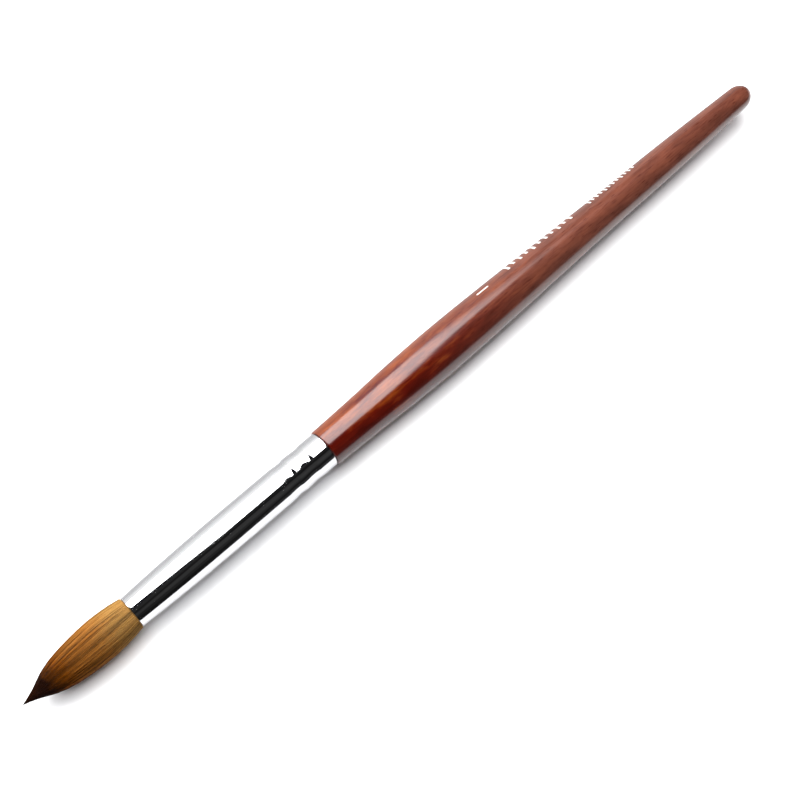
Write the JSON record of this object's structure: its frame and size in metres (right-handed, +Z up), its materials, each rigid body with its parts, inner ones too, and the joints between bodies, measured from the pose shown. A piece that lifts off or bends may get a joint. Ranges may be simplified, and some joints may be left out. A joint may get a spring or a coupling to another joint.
{
  "type": "nail brush",
  "caption": "Round pointed natural-hair brush for acrylic nails: hair tuft set with thread and resin in a crimped metal ferrule on a turned, lacquered wooden handle.",
  "frame": {"origin": "on the surface the brush lies on, under the middle of its length and width", "axes": "+X along the brush's axis from the point of the hair to the rounded end of the handle, +Z up from the surface it lies on"},
  "size_m": [0.165, 0.0084, 0.0083],
  "materials": {
    "hair": "fine natural hair, golden brown with dark tips",
    "thread": "waxed thread",
    "resin": "clear hard resin",
    "ferrule_metal": "polished plated brass",
    "lacquered_wood": "red-brown stain under gloss lacquer",
    "adhesive": "dried adhesive"
  },
  "bodies": {
    "root": {"hair_tuft": "hair", "binding_thread": "thread", "setting_resin": "resin", "ferrule": "ferrule_metal", "handle": "lacquered_wood", "handle_glue": "adhesive"}
  },
  "joints": []
}
